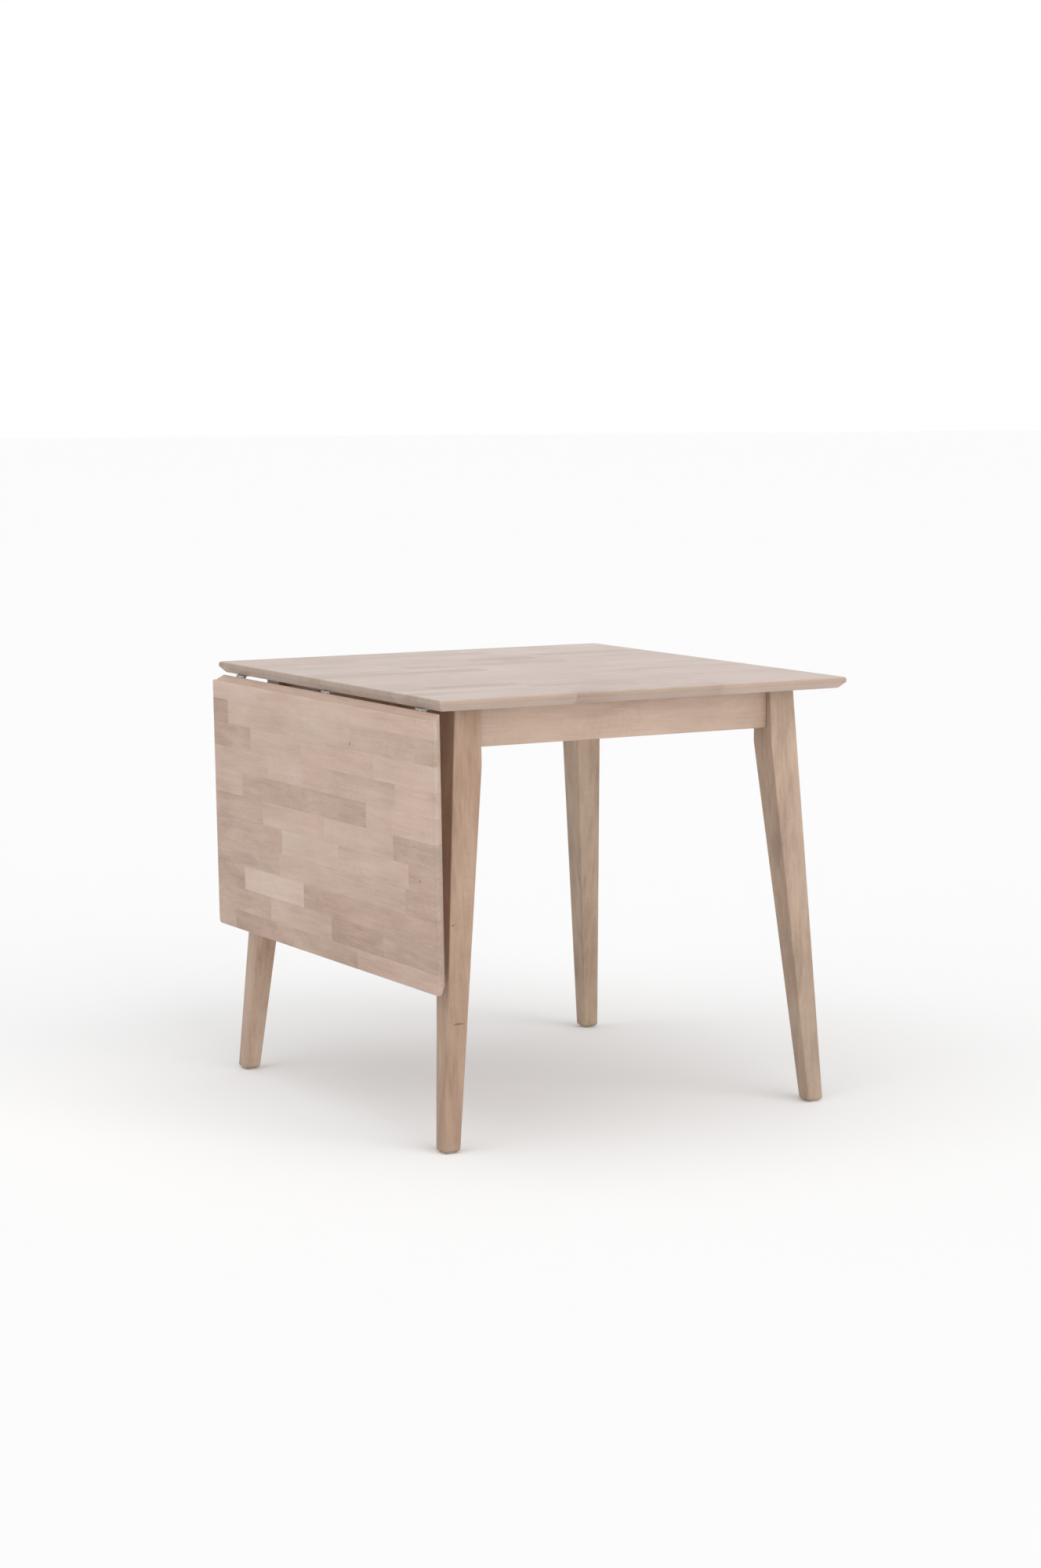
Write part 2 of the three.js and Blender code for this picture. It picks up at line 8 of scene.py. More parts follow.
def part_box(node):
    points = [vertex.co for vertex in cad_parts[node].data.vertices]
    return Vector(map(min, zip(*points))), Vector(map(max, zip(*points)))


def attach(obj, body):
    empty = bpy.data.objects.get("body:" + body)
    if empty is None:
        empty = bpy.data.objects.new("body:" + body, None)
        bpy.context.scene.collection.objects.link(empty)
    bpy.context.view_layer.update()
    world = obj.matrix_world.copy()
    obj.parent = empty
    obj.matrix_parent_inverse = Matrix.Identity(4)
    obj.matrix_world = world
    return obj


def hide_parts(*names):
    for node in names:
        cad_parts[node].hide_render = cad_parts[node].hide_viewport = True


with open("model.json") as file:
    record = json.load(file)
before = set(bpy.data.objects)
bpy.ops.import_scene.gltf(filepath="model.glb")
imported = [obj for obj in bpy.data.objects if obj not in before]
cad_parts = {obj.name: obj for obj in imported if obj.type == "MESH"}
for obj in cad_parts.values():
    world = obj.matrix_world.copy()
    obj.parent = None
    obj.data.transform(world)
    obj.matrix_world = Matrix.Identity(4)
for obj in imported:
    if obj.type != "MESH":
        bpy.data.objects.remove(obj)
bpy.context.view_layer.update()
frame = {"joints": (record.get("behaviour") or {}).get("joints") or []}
mm = 0.001


# ---- Fixed top ----------------------------------------------------------------------------------
# A square board of edge-glued oak staves, planed flat, with a soft arris on its face, an upright
# nose and a slanting under-bevel all round. It is screwed down from below, through the blocks.

def filleted(points, radius, steps=5, support=0.4 * mm, closed=True):
    """Rounds the corners of a polyline in the plane: each corner becomes an arc of its own radius,
    swung between its two tangent points, with a support point just outside each end of the arc."""
    points = np.asarray(points, float)
    radius = np.broadcast_to(np.asarray(radius, float), len(points)).copy()
    before, after = np.roll(points, 1, 0) - points, np.roll(points, -1, 0) - points
    if not closed:
        inner = slice(1, -1)
        ends, points, radius = points[[0, -1]], points[inner], radius[inner]
        before, after = before[inner], after[inner]
    before /= np.linalg.norm(before, axis=1, keepdims=True)
    after /= np.linalg.norm(after, axis=1, keepdims=True)
    half = np.arccos(np.clip((before * after).sum(1), -1, 1)) / 2
    reach = radius / np.tan(half)
    middle = before + after
    middle /= np.linalg.norm(middle, axis=1, keepdims=True)
    centre = points + middle * (radius / np.sin(half))[:, None]
    start = points + before * reach[:, None] - centre
    stop = points + after * reach[:, None] - centre
    sweep = (np.pi - 2 * half)[:, None, None]
    t = np.linspace(0, 1, steps)[None, :, None]
    arc = (np.sin((1 - t) * sweep) * start[:, None] + np.sin(t * sweep) * stop[:, None]) / np.sin(sweep)
    arc += centre[:, None]
    lead = (points + before * (reach + support)[:, None])[:, None]
    trail = (points + after * (reach + support)[:, None])[:, None]
    path = np.concatenate([lead, arc, trail], 1).reshape(-1, 2)
    return path if closed else np.concatenate([ends[:1], path, ends[1:]])


def shell_faces(rings, first):
    """Faces of one closed shell over rings of points: quads join each ring to the next and a flat cap
    closes each end. A shell whose signed volume comes out negative has its faces turned round."""
    levels, count = rings.shape[:2]
    index = np.arange(levels * count).reshape(levels, count)
    low, high = index[:-1], index[1:]
    quads = np.stack([low, np.roll(low, -1, 1), np.roll(high, -1, 1), high], -1).reshape(-1, 4)
    points = rings.reshape(-1, 3) - rings.reshape(-1, 3).mean(0)
    ends = [index[0, ::-1], index[-1]]
    fans = [np.stack([np.full(count - 2, end[0]), end[1:-1], end[2:]], -1) for end in ends]
    triangles = np.concatenate([quads[:, :3], quads[:, [0, 2, 3]], *fans])
    a, b, c = (points[triangles[:, k]] for k in range(3))
    turn = -1 if (a * np.cross(b, c)).sum() < 0 else 1
    sides = (quads[:, ::turn] + first).tolist()
    return sides + [(end[::turn] + first).tolist() for end in ends]


def skin(name, *shells):
    """One mesh of closed shells, each an array of rings of points, shaded smooth but for its arrises."""
    points, faces = [], []
    for rings in shells:
        faces += shell_faces(rings, sum(map(len, points)))
        points.append(rings.reshape(-1, 3))
    mesh = bpy.data.meshes.new(name)
    mesh.from_pydata(np.concatenate(points).tolist(), [], faces)
    mesh.polygons.foreach_set("use_smooth", np.ones(len(faces), bool))
    mesh.update()
    mesh.set_sharp_from_angle(angle=np.radians(40))
    piece = bpy.data.objects.new(name, mesh)
    bpy.context.scene.collection.objects.link(piece)
    return piece


def fit_up(piece, body, slot, material, *cad_nodes):
    """Gives a piece its material, its body, and the CAD nodes that it stands for. slot is not used."""
    piece.data.materials.append(material)
    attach(piece, body)
    if cad_nodes:
        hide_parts(*cad_nodes)
    return piece


def rounded_corners(radius, steps=5):
    """Offsets of a rectangle's outline from its four corners, with which corner each belongs to.
    The corners go round from the high-x, high-y one; radius may be one number or four."""
    square = np.array([[1, 1], [-1, 1], [-1, -1], [1, -1]], float)
    outline = filleted(square, radius, steps)
    side = np.repeat(square, steps + 2, 0)
    return outline - side, side > 0


def rectangle_rings(x, y, z, radius, steps=5):
    """Rings of a body whose level section is a rounded rectangle: x and y hold its low and high
    sides at each height z."""
    offset, high = rounded_corners(radius, steps)
    x, y, z = np.asarray(x, float), np.asarray(y, float), np.asarray(z, float)
    ring_x = np.where(high[None, :, 0], x[:, 1:], x[:, :1]) + offset[None, :, 0]
    ring_y = np.where(high[None, :, 1], y[:, 1:], y[:, :1]) + offset[None, :, 1]
    return np.stack([ring_x, ring_y, np.broadcast_to(z[:, None], ring_x.shape)], -1)


top_low, top_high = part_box("main_top")
nose, bevel_in, face_margin = 8.5 * mm, 10 * mm, 30 * mm
bevel_round, nose_round, arris_round = 1.2 * mm, 4.0 * mm, 4.2 * mm
nose_bottom = top_high.z - nose


def edge_profile():
    """Inset and height up the edge of a board: under-bevel, nose and arris, with eased corners."""
    corners = [(face_margin, top_low.z), (bevel_in, top_low.z), (0, nose_bottom), (0, top_high.z),
               (face_margin, top_high.z)]
    return filleted(corners, [0, bevel_round, nose_round, arris_round, 0], 7, closed=False)


inset, height = edge_profile().T
x_sides = np.stack([top_low.x + inset, top_high.x - inset], 1)
y_sides = np.stack([top_low.y + inset, top_high.y - inset], 1)
main_top = skin("top_board", rectangle_rings(x_sides, y_sides, height, 3.5 * mm))


def node(tree, kind, inputs=None, **settings):
    """Adds a shader node with its settings. inputs maps a socket's name or number to a value, or to
    the socket that feeds it."""
    made = tree.nodes.new("ShaderNode" + kind)
    for key, value in settings.items():
        setattr(made, key, value)
    for key, value in (inputs or {}).items():
        if isinstance(value, bpy.types.NodeSocket):
            tree.links.new(value, made.inputs[key])
        else:
            made.inputs[key].default_value = value
    return made


def maths(tree, operation, *values):
    """A Math node on one to three values or sockets."""
    return node(tree, "Math", dict(enumerate(values)), operation=operation).outputs[0]


def ramp(tree, value, stops, interpolation="LINEAR"):
    """A Color Ramp from (position, grey or colour) stops."""
    made = node(tree, "ValToRGB", {0: value})
    made.color_ramp.interpolation = interpolation
    elements = made.color_ramp.elements
    while len(elements) < len(stops):
        elements.new(0.5)
    for element, (place, shade) in zip(elements, stops):
        element.position = place
        element.color = (*shade, 1) if isinstance(shade, tuple) else (shade, shade, shade, 1)
    return made.outputs[0]


def blend_colour(tree, how, amount, first, second):
    """A Mix node on two colours."""
    mixed = node(tree, "Mix", {0: amount, 6: first, 7: second}, data_type="RGBA", blend_type=how)
    return mixed.outputs[2]


def stretched(tree, vector, scale, shift=(0, 0, 0)):
    """Coordinates moved and then stretched."""
    moved = node(tree, "VectorMath", {0: vector, 1: shift}, operation="ADD").outputs[0]
    return node(tree, "VectorMath", {0: moved, 1: scale}, operation="MULTIPLY").outputs[0]


def noise(tree, vector, scale, detail=3, rough=0.5, distortion=0.0):
    """A Noise texture, as one value between 0 and 1."""
    return node(tree, "TexNoise", {"Vector": vector, "Scale": scale, "Detail": detail,
                                   "Roughness": rough, "Distortion": distortion}).outputs[0]


OAK_PALE = (0.575, 0.45, 0.375)
OAK_MID = (0.475, 0.35, 0.28)
OAK_DARK = (0.335, 0.232, 0.172)
WHITE_OIL = (0.72, 0.63, 0.56, 1)
GLUE_BROWN = (0.6, 0.5, 0.42, 1)
KNOT_BROWN = (0.14, 0.09, 0.06, 1)
ROW_LENGTH, BEST_GRADE, GRADE_SPREAD, GLUE_WIDTH = 80, 9, 0.7, 0.25 * mm


def stave_cells(tree, along, across, boards):
    """Tells each point which stave it lies in. The rows are equal strips across the board; in each row
    a stepped ramp along it changes at every butt joint. The colour holds the stave's grade, a little
    to either side of its class, and two numbers of its own; the second result is 1 on the glue line
    between rows."""
    width, first_edge, (far, near), rows = boards
    steps = maths(tree, "DIVIDE", maths(tree, "SUBTRACT", across, first_edge), width)
    row = maths(tree, "FLOOR", steps)
    place = maths(tree, "DIVIDE", maths(tree, "SUBTRACT", along, far), near - far)
    draw, waver = np.random.default_rng(len(rows)), np.random.default_rng(3)
    cells = (0.5, 0.5, 0.5, 1)
    for number, row_cuts in enumerate(rows):
        starts = [0.0] + [end / ROW_LENGTH for end, _ in row_cuts[:-1]]
        stops = [(start, ((grade + waver.normal(0, GRADE_SPREAD)) / BEST_GRADE, *draw.random(2)))
                 for start, (_, grade) in zip(starts, row_cuts)]
        run = ramp(tree, place, stops, "CONSTANT")
        here = maths(tree, "COMPARE", row, float(number), 0.4)
        cells = blend_colour(tree, "MIX", here, cells, run)
    edge = maths(tree, "PINGPONG", maths(tree, "FRACT", steps), 0.5)
    return cells, maths(tree, "LESS_THAN", edge, GLUE_WIDTH / width)


def whitened_oak(name, axes, boards=None, tint=(1, 1, 1), contrast=1.0, seed=0.0, rough=0.45,
                 knots=(), turn=0, rings=0.15, edge_painted_light=None, painted_foot_shade=None):
    """Oak under white pigment oil. axes names the piece's directions along the grain, across it and
    through it. The growth rings are circles about a pith that slants through each stave, so a face
    shows flames, an edge shows lines and an end shows arcs. Faces across the grain are greyer.
    tint colours the flat faces and edge_painted_light the nose, so that a face and its edge can carry
    different painted light. rings says how dark the late wood shows.
    Each of knots is (along, across, reach along, reach across). turn swings the grain about Z, in degrees,
    and painted_foot_shade is painted shade on a leg: darker towards the floor, a little lighter higher up."""
    material = bpy.data.materials.new(name)
    material.use_nodes = True
    tree = material.node_tree
    shader = tree.nodes["Principled BSDF"]
    place = node(tree, "TexCoord")
    split, facing = (node(tree, "SeparateXYZ", {0: node(tree, "Mapping", {
        "Vector": place.outputs[kind], "Rotation": (0, 0, np.radians(turn))}).outputs[0]})
        for kind in ("Object", "Normal"))
    along, across, through = (split.outputs["XYZ".index(axis)] for axis in axes)
    if boards:
        cells, glue_line = stave_cells(tree, along, across, boards)
    else:
        draw = np.random.default_rng(int(seed * 10))
        cells = node(tree, "CombineXYZ", {0: 0.5, 1: draw.random(), 2: draw.random()}).outputs[0]
    grade, second, third = node(tree, "SeparateXYZ", {0: cells}).outputs
    own = node(tree, "VectorMath", {0: cells, 1: (2.1, 4.3, 3.7)}, operation="MULTIPLY").outputs[0]
    grain = node(tree, "CombineXYZ", {0: along, 1: across, 2: through}).outputs[0]
    grain = node(tree, "VectorMath", {0: grain, 1: own}, operation="ADD").outputs[0]

    cloud = noise(tree, stretched(tree, grain, (7, 24, 24), (0.3, 0.1, 0.7)), 1.0, 3, 0.5)
    sway = noise(tree, stretched(tree, grain, (6, 9, 9)), 1.0, 1, 0.4)
    flame = noise(tree, stretched(tree, grain, (11, 100, 100)), 1.0, 3, 0.55, 0.9)
    streak = noise(tree, stretched(tree, grain, (5, 260, 260)), 1.0, 3, 0.6)
    fibre = noise(tree, stretched(tree, grain, (40, 1500, 1500)), 1.0, 2, 0.6)
    pore = noise(tree, stretched(tree, grain, (100, 1800, 1800), (0.11, 0.2, 0)), 1.0, 1, 0.5)
    pore = ramp(tree, pore, [(0.60, 0.0), (0.70, 1.0)])

    # Growth rings about the slanting pith, 3 mm apart, fading in and out.
    pith_across = maths(tree, "MULTIPLY_ADD", second, 0.09, -0.045)
    slant = maths(tree, "MULTIPLY_ADD", third, 0.24, -0.12)
    pith_depth = maths(tree, "MULTIPLY_ADD", sway, 0.05, maths(tree, "MULTIPLY", along, slant))
    row_middle = maths(tree, "SUBTRACT", across, pith_across)
    row_middle = maths(tree, "SUBTRACT", maths(tree, "PINGPONG", row_middle, 0.042), 0.012)
    depth = maths(tree, "ADD", maths(tree, "SUBTRACT", through, pith_depth), 0.03)
    from_pith = maths(tree, "SQRT", maths(tree, "ADD", maths(tree, "MULTIPLY", row_middle, row_middle),
                                          maths(tree, "MULTIPLY", depth, depth)))
    turns = maths(tree, "MULTIPLY_ADD", from_pith, 330.0, maths(tree, "MULTIPLY", cloud, 2.6))
    late_wood = maths(tree, "POWER", maths(tree, "FRACT", turns), 2.5)
    showing = ramp(tree, cloud, [(0.42, 0.25), (0.62, 1.0)])
    late_wood = maths(tree, "MULTIPLY", late_wood, showing)

    # From dark to pale, by the stave's grade, the slow clouds and the finer grain.
    wash = noise(tree, stretched(tree, place.outputs["Object"], (9, 9, 9), (seed, 0.4, 0.2)), 1.0, 3, 0.5)
    level = maths(tree, "MULTIPLY_ADD", grade, 0.60, 0.21)
    level = maths(tree, "MULTIPLY_ADD", maths(tree, "SUBTRACT", wash, 0.5), 0.45, level)
    for part, share in ((cloud, 0.95), (flame, 0.60), (streak, 0.30), (fibre, 0.16)):
        level = maths(tree, "MULTIPLY_ADD", maths(tree, "SUBTRACT", part, 0.5), share * contrast, level)
    level = maths(tree, "MULTIPLY_ADD", late_wood, -rings, level)
    colour = ramp(tree, level, [(0.0, OAK_DARK), (0.5, OAK_MID), (1.0, OAK_PALE)])
    cast = ramp(tree, maths(tree, "MULTIPLY_ADD", cloud, 0.6, maths(tree, "MULTIPLY_ADD", third, 0.6, -0.1)),
                [(0.0, (1.035, 0.985, 0.975)), (0.5, (1, 1, 1)), (1.0, (0.975, 1.0, 0.94))])
    colour = blend_colour(tree, "MULTIPLY", 1.0, colour, cast)
    colour = blend_colour(tree, "MIX", maths(tree, "MULTIPLY", pore, 0.20), colour, WHITE_OIL)

    # End wood, where the face looks along the grain.
    end_wood = maths(tree, "ABSOLUTE", facing.outputs["XYZ".index(axes[0])])
    end_wood = ramp(tree, end_wood, [(0.35, 0.0), (0.6, 1.0)])
    speck = noise(tree, stretched(tree, grain, (160, 520, 900)), 1.0, 3, 0.7)
    dull = ramp(tree, speck, [(0.3, (0.70, 0.74, 0.75)), (0.7, (0.98, 1.0, 1.0))])
    colour = blend_colour(tree, "MIX", end_wood, colour, blend_colour(tree, "MULTIPLY", 1.0, colour, dull))
    if boards:
        glue = maths(tree, "MULTIPLY", glue_line, 0.22)
        colour = blend_colour(tree, "MULTIPLY", glue, colour, GLUE_BROWN)
    for knot_along, knot_across, high, wide in knots:
        flat = node(tree, "CombineXYZ", {0: along, 1: across}).outputs[0]
        apart = stretched(tree, flat, (1 / high, 1 / wide, 0), (-knot_along, -knot_across, 0))
        apart = node(tree, "VectorMath", {0: apart}, operation="LENGTH").outputs["Value"]
        ragged = maths(tree, "MULTIPLY_ADD", flame, 0.3, apart)
        core = ramp(tree, ragged, [(0.5, 0.7), (0.85, 0.15), (1.0, 0.0)])
        colour = blend_colour(tree, "MIX", core, colour, KNOT_BROWN)
    # Where edge_painted_light is given, flat faces take tint and the nose takes edge_painted_light, so the
    # face and its nose are lit differently in paint.
    if edge_painted_light:
        face_on = maths(tree, "ABSOLUTE", facing.outputs["XYZ".index(axes[2])])
        tint_and_painted_light = ramp(tree, face_on, [(0.5, edge_painted_light), (0.9, tint)])
        colour = blend_colour(tree, "MULTIPLY", 1.0, colour, tint_and_painted_light)
    else:
        colour = blend_colour(tree, "MULTIPLY", 1.0, colour, (*tint, 1))

    # Painted shade: the oak grows darker towards the foot of a leg and a little lighter above, as the light
    # falls there.
    if painted_foot_shade:
        painted_shade_by_height = ramp(tree, split.outputs["Z"], [(0.10, painted_foot_shade), (0.60, (1.04, 1.04, 1.04))])
        colour = blend_colour(tree, "MULTIPLY", 1.0, colour, painted_shade_by_height)

    sheen = maths(tree, "MULTIPLY_ADD", fibre, 0.14, rough - 0.07)
    relief = maths(tree, "MULTIPLY_ADD", pore, -0.7, maths(tree, "MULTIPLY", fibre, 0.6))
    relief = maths(tree, "MULTIPLY_ADD", flame, 0.8, relief)
    bump = node(tree, "Bump", {"Strength": 0.25, "Distance": 0.3 * mm, "Height": relief})
    tree.links.new(colour, shader.inputs["Base Color"])
    tree.links.new(sheen, shader.inputs["Roughness"])
    tree.links.new(bump.outputs[0], shader.inputs["Normal"])
    return material


# Rows of the top, from the front. Each stave is (end, grade): where it ends, in centimetres along the
# row, and one of three grades. Most rows are mixed from the heap, paler to the right, which is painted light
# for the brighter sheen there.
STAVE = 41.7 * mm
DARK, MIDDLE, PALE = 2.0, 5.5, 7.6
heap = np.random.default_rng(7)
top_rows = []
for _ in range(20):
    ends = [*np.cumsum(heap.uniform(18, 30, 2)).tolist(), ROW_LENGTH]
    # The first stave of each row is lowered and the last raised: painted light, brighter towards the right of
    # the top.
    grades_and_painted_light = (heap.normal(5.6, 0.8, 3) + (-0.4, 0.0, 1.0)).clip(3, BEST_GRADE).tolist()
    top_rows.append(list(zip(ends, grades_and_painted_light)))
top_rows[15] = [(30, MIDDLE), (57, MIDDLE), (76, DARK), (80, MIDDLE)]
top_rows[14] = [(40, MIDDLE), (53, DARK), (80, MIDDLE)]
top_rows[12] = [(22, MIDDLE), (30, DARK), (55, MIDDLE), (80, MIDDLE)]
top_rows[10] = [(33, DARK), (58, MIDDLE), (80, PALE)]
top_rows[7] = [(26, MIDDLE), (44, MIDDLE), (80, MIDDLE)]
top_rows[4] = [(8, MIDDLE), (25, DARK), (52, MIDDLE), (80, MIDDLE)]
BACK_STRIP = 19 * mm
top_boards = (STAVE, top_high.y - BACK_STRIP - 19 * STAVE, (top_low.x, top_high.x), top_rows)
# The top's flat face is tinted paler and cooler than the leaf's, and its nose darker: painted sheen, for the
# white grazing reflection that lies on the top.
top_oak = whitened_oak("top_staves", "XYZ", top_boards, (1.13, 1.21, 1.33), 0.75, rough=0.40,
                       edge_painted_light=(0.87, 0.86, 0.82))
fit_up(main_top, "frame", "top_wood", top_oak, "main_top")


# ---- Drop leaf ----------------------------------------------------------------------------------
# The same glued board as the top, its staves running the length of the hinge line. Two ends and the
# free edge are bevelled like the top's; the joint edge is cut back to close over the top's bevel.

hinge = next(joint for joint in frame["joints"] if joint["name"] == "leaf_hinge")
pin_x, _, pin_z = hinge["pos_m"]
swing = np.radians(hinge["range_deg"][1])
joint_gap, tongue, leaf_reach, crest_drop = 1 * mm, 8.4 * mm, 442 * mm, 1.8 * mm


def hang(points):
    """Turns points from the raised leaf down about the hinge pin, to where it hangs at rest."""
    points = np.asarray(points, float)
    x, z = points[..., 0] - pin_x, points[..., 2] - pin_z
    turned_x = x * np.cos(swing) - z * np.sin(swing)
    turned_z = x * np.sin(swing) + z * np.cos(swing)
    return np.stack([pin_x + turned_x, points[..., 1], pin_z + turned_z], -1)


joint_face = top_low.x - joint_gap
lap = np.where(height < nose_bottom, -tongue * inset / bevel_in, inset)
lap = np.where((height < nose_bottom) & (inset > bevel_in), inset - bevel_in - tongue, lap)
x_sides = np.stack([joint_face - leaf_reach + inset, joint_face - lap], 1)
leaf_rings = rectangle_rings(x_sides, y_sides, height, [1 * mm, 6 * mm, 6 * mm, 1 * mm])
drop_leaf = skin("leaf_board", hang(leaf_rings))
crest = pin_z - crest_drop

# Rows of the leaf from the hinge down, their ends measured from its far end.
# The grades hold each stave's own tone and also painted shade: the rows grow darker down the leaf, away from
# the hinge.
leaf_rows = [
    [(30, PALE), (52, PALE), (80, PALE)],
    [(6, DARK), (30, MIDDLE), (52, PALE), (74, MIDDLE), (80, MIDDLE)],
    [(15, DARK), (34, MIDDLE), (60, MIDDLE), (80, PALE)],
    [(10, MIDDLE), (21, MIDDLE), (44, MIDDLE), (67, MIDDLE), (80, PALE)],
    [(11, MIDDLE), (34, DARK), (57, DARK), (80, MIDDLE)],
    [(19, DARK), (42, MIDDLE), (66, MIDDLE), (80, DARK)],
    [(26, DARK), (47, PALE), (71, MIDDLE), (80, DARK)],
    [(25, DARK), (36, MIDDLE), (70, MIDDLE), (80, DARK)],
    [(11, DARK), (34, PALE), (80, DARK)],
    [(21, DARK), (44, MIDDLE), (62, DARK), (80, DARK)],
    [(7, DARK), (30, DARK), (53, DARK), (80, MIDDLE)],
]
leaf_bottom_row = crest + 2 * mm - len(leaf_rows) * STAVE
leaf_boards = (STAVE, leaf_bottom_row, (top_high.y, top_low.y), leaf_rows[::-1])
leaf_knots = [(-121 * mm, crest - 72 * mm, 4.5 * mm, 4.0 * mm),
              (-349 * mm, crest - 271 * mm, 3.6 * mm, 3.2 * mm)]
# The leaf's nose takes a lighter tint than its face: a painted highlight along its edges.
leaf_oak = whitened_oak("leaf_staves", "YZX", leaf_boards, (1.01, 0.985, 0.97), 1.0, knots=leaf_knots,
                        rings=0.11, edge_painted_light=(1.09, 1.07, 1.06))
fit_up(drop_leaf, "leaf", "leaf_wood", leaf_oak, "drop_leaf")


# ---- Legs ---------------------------------------------------------------------------------------
# Four solid oak legs, square in section. The outer faces run straight and splay outwards; the inner
# faces are upright at the head, where the aprons meet them, and then taper down to the foot.

leg_low, leg_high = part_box("leg_back_right")
shift = (top_low.x + top_high.x) / 2
half_top = (top_high.x - top_low.x) / 2
foot_inset, head_inset, foot_width = 21.8 * mm, 65.5 * mm, 29.5 * mm
head_face, head_bottom = 286.3 * mm, 625 * mm
sole_high, sole_trim, knee_radius = 5.5 * mm, 5.0 * mm, 120 * mm


def leg_rings():
    """Rings of the leg at +X +Y. Its inner side follows a softened line from the foot to the head;
    its outer side leans on a straight line; the sole's edge is rounded over."""
    foot_inner = half_top - foot_inset - foot_width
    z = leg_low.z + sole_high
    line = filleted([(foot_inner + (head_face - foot_inner) * z / head_bottom, z),
                     (head_face, head_bottom), (head_face, leg_high.z)], knee_radius, 9, closed=False)
    inner, level = line.T
    lean = (head_inset - foot_inset) / top_low.z
    turn = np.linspace(0, np.pi / 2, 7)[:-1]
    sole_z = leg_low.z + sole_high * (1 - np.cos(turn))
    level = np.concatenate([sole_z, level])
    trim = np.concatenate([sole_trim * (1 - np.sin(turn)), np.zeros(len(inner))])
    inner = np.concatenate([np.full(len(sole_z), inner[0]), inner])
    sides = np.stack([inner + trim, half_top - foot_inset - lean * level - trim], 1)
    return rectangle_rings(sides, sides, level, 2.2 * mm)


leg_knots = [(210 * mm, -339 * mm, 2.8 * mm, 16 * mm), (370 * mm, -344 * mm, 2.2 * mm, 4.5 * mm)]
leg_tints = [(0.84, 0.76, 0.67), (0.90, 0.86, 0.81), (0.98, 0.93, 0.85), (0.92, 0.88, 0.80)]
corners = [(-1, -1, "front_left"), (-1, 1, "back_left"), (1, -1, "front_right"), (1, 1, "back_right")]
for along_x, along_y, corner in corners:
    leg = skin(f"{corner}_leg", leg_rings() * (along_x, along_y, 1) + (shift, 0, 0))
    number = 1 + (along_x > 0) + 2 * (along_y > 0)
    # The lower leg is darkened towards the floor with painted shade (painted_foot_shade).
    oak = whitened_oak(f"leg_oak_{number}", "ZXY", None, leg_tints[number - 1], 1.6, number * 1.7, 0.5,
                       leg_knots if number == 1 else (), rings=0.10, painted_foot_shade=(0.88, 0.88, 0.87))
    fit_up(leg, "frame", "frame_wood", oak, f"leg_{corner}")


# ---- Aprons -------------------------------------------------------------------------------------
# Four oak rails on edge between the heads of the legs, grain running along them. Stub tenons hold
# their ends in the legs, and their long edges are lightly eased.

TENON_THICK, TENON_HIGH, SHOULDER_GAP = 9 * mm, 44 * mm, 0.3 * mm


def rail_rings(low, high, run, radius):
    """Rings of a rail strung along its axis run (0 or 1): a stub tenon, the shoulder, the full section
    with rounded long edges, and the same again at the other end."""
    across = 1 - run
    shoulder = head_face - SHOULDER_GAP
    middle = shift * (run == 0)
    ends = np.concatenate([[low[run]], middle + np.array([-shoulder, -shoulder, radius - shoulder])])
    ends = np.concatenate([ends, (low[run] + high[run]) - ends[::-1]])
    half_thick, half_high = (high[across] - low[across]) / 2, (high[2] - low[2]) / 2
    ease = 0.5 * radius
    thick = np.array([TENON_THICK / 2, TENON_THICK / 2, half_thick - ease, half_thick])
    tall = np.array([TENON_HIGH / 2, TENON_HIGH / 2, half_high - ease, half_high])
    thick, tall = (np.concatenate([half, half[::-1]]) for half in (thick, tall))
    a = (low[across] + high[across]) / 2 + thick[:, None] * (-1, 1)
    b = (low[2] + high[2]) / 2 + tall[:, None] * (-1, 1)
    return rectangle_rings(a, b, ends, radius)[..., [2, 0, 1] if run == 0 else [0, 2, 1]]


for number, name in enumerate(("front", "back", "left", "right")):
    low, high = (np.array(corner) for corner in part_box(f"apron_{name}"))
    run = 0 if name in ("front", "back") else 1
    rail = skin(f"{name}_rail", rail_rings(low, high, run, 1.5 * mm))
    # The left rail, seen only in shade through the gap under the leaf, is tinted darker and redder: painted
    # shade. The other rails take a paler tint.
    rail_tint_and_painted_shade = (0.95, 0.80, 0.70) if name == "left" else (1.20, 1.18, 1.17)
    oak = whitened_oak(f"rail_oak_{number + 1}", "XZY" if run == 0 else "YZX", None, rail_tint_and_painted_shade, 0.9,
                       5 + number * 1.3)
    fit_up(rail, "frame", "frame_wood", oak, f"apron_{name}")


# ---- Corner blocks ------------------------------------------------------------------------------
# A short oak block is glued and screwed across each corner, behind the leg. It pulls the leg into the
# corner by its bolt, and holds the top by one countersunk screw.

block_tint = (1.0, 0.93, 0.82)
for along_x, along_y, corner in corners:
    seed = 11.3 + along_x + 2 * along_y
    oak = whitened_oak(f"block_oak_{corner}", "XZY", None, block_tint, 1.2, seed, 0.6,
                       turn=45 * along_x * along_y)
    bpy.data.objects[f"corner_block_{corner}"].material_slots[0].material = oak


# ---- Leg bolts and nuts -------------------------------------------------------------------------
# A steel hanger bolt runs level along each corner's diagonal, its wood thread in the leg. A flanged
# hexagon nut draws it up against the corner block.

